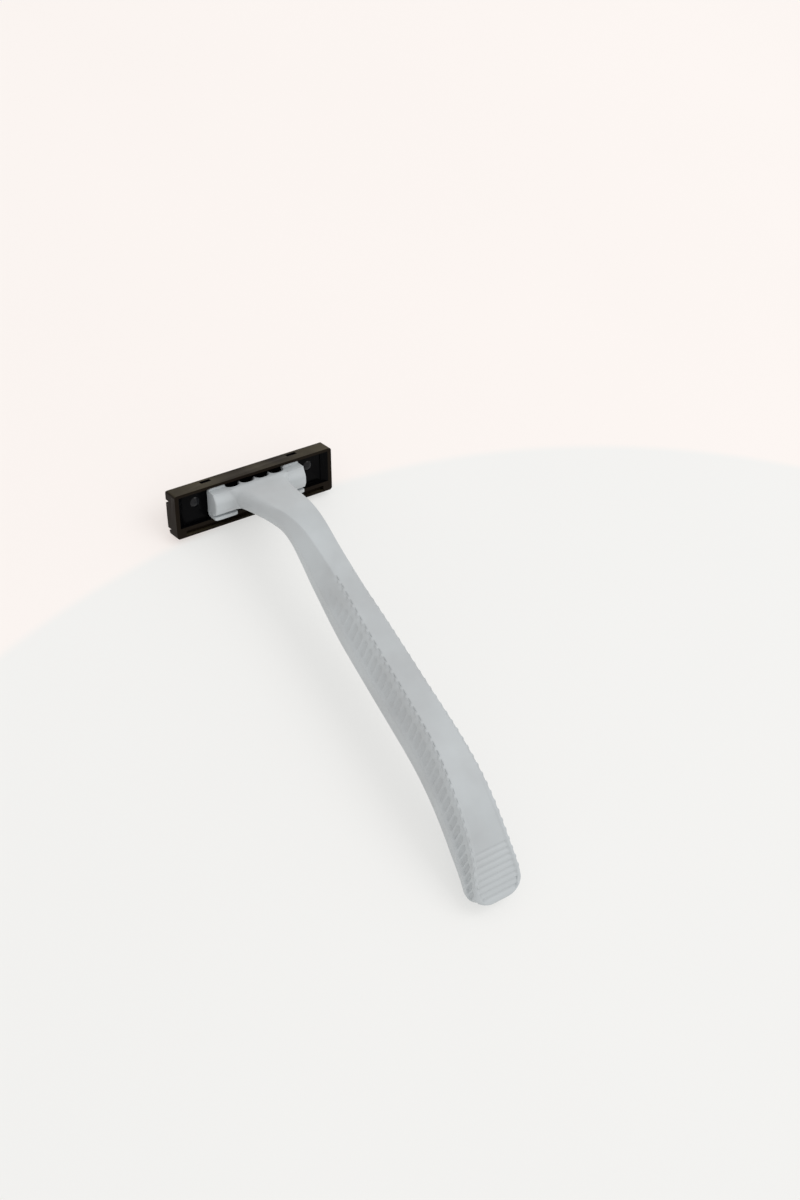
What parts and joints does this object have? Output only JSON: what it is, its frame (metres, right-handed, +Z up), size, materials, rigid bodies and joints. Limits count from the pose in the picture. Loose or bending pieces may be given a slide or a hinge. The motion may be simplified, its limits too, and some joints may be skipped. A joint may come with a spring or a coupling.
{
  "type": "razor",
  "caption": "Slim moulded razor with a curved, rib-gripped handle, T-bar neck and a slim rectangular blade cartridge that pulls off.",
  "frame": {"origin": "centre of the footprint, on the surface the razor lies on", "axes": "+Y from the tail to the blade cartridge, +Z up, +X along the blades; lying on the guard and the handle's tail"},
  "size_m": [0.0414, 0.1124, 0.0207],
  "materials": {
    "handle_plastic": "fine satin injection moulding, pale grey",
    "tray_plastic": "satin injection moulding, very dark brown",
    "cap_plastic": "satin injection moulding, very dark brown",
    "guard_blade_steel": "ground and honed edge",
    "cap_blade_steel": "ground and honed edge",
    "spacer_aluminium": "stamped, mill finish",
    "strip_polymer": "waxy water-soluble polymer"
  },
  "bodies": {
    "cartridge": {"cartridge_tray": "tray_plastic", "cartridge_cap": "cap_plastic", "guard_blade": "guard_blade_steel", "cap_blade": "cap_blade_steel", "blade_spacer": "spacer_aluminium", "lubricating_strip": "strip_polymer"},
    "razor_handle": {"handle": "handle_plastic"}
  },
  "joints": [
    {"name": "cartridge_release", "type": "slide", "parent": "cartridge", "child": "razor_handle", "axis": [0, -0.8569, 0.5155], "range_m": [0, 0.012]}
  ]
}
